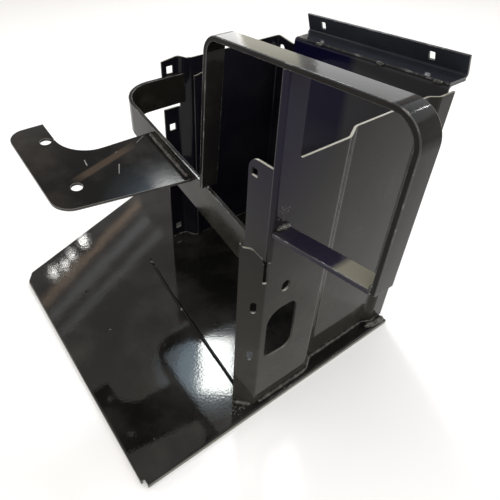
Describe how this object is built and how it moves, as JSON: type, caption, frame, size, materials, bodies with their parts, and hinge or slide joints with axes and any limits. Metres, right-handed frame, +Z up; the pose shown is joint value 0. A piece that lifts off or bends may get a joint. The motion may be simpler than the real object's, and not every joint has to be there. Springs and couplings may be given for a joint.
{
  "type": "sheet metal chassis",
  "caption": "Open welded steel chassis: folded walls on a flared base plate, a flat-bar hoop, a curved strap with a bolt bracket and a rear mounting angle, painted gloss black.",
  "frame": {"origin": "centre of the overall plan outline, on the plane the base stands on", "axes": "+X runs along the front edge of the base, from the flared left side to the side with the hoop; +Y runs rearward from the open front to the rear angle; +Z is up"},
  "size_m": [0.819, 0.568, 0.5273],
  "materials": {
    "sheet": "gloss black paint over folded steel sheet",
    "bar": "gloss black paint over steel flat bar",
    "weld": "gloss black paint over a rippled weld bead"
  },
  "bodies": {
    "root": {"back_wall": "sheet", "base_plate": "sheet", "bolt_bracket": "bar", "floor_plate": "sheet", "hoop_bar": "bar", "hoop_bottom_bar": "bar", "left_wall": "sheet", "rear_angle": "sheet", "right_wall": "sheet", "strap": "bar", "wall_stiffener": "sheet", "weld_back_corner": "weld", "weld_bracket": "weld", "weld_flange_foot": "weld", "weld_hoop_post": "weld", "weld_left_foot": "weld", "weld_leg_strap": "weld", "weld_low_bar_leg": "weld", "weld_low_bar_wall": "weld", "weld_right_foot": "weld", "weld_strap_tab": "weld", "weld_tack_1": "weld", "weld_tack_2": "weld", "weld_tack_3": "weld"}
  },
  "joints": []
}
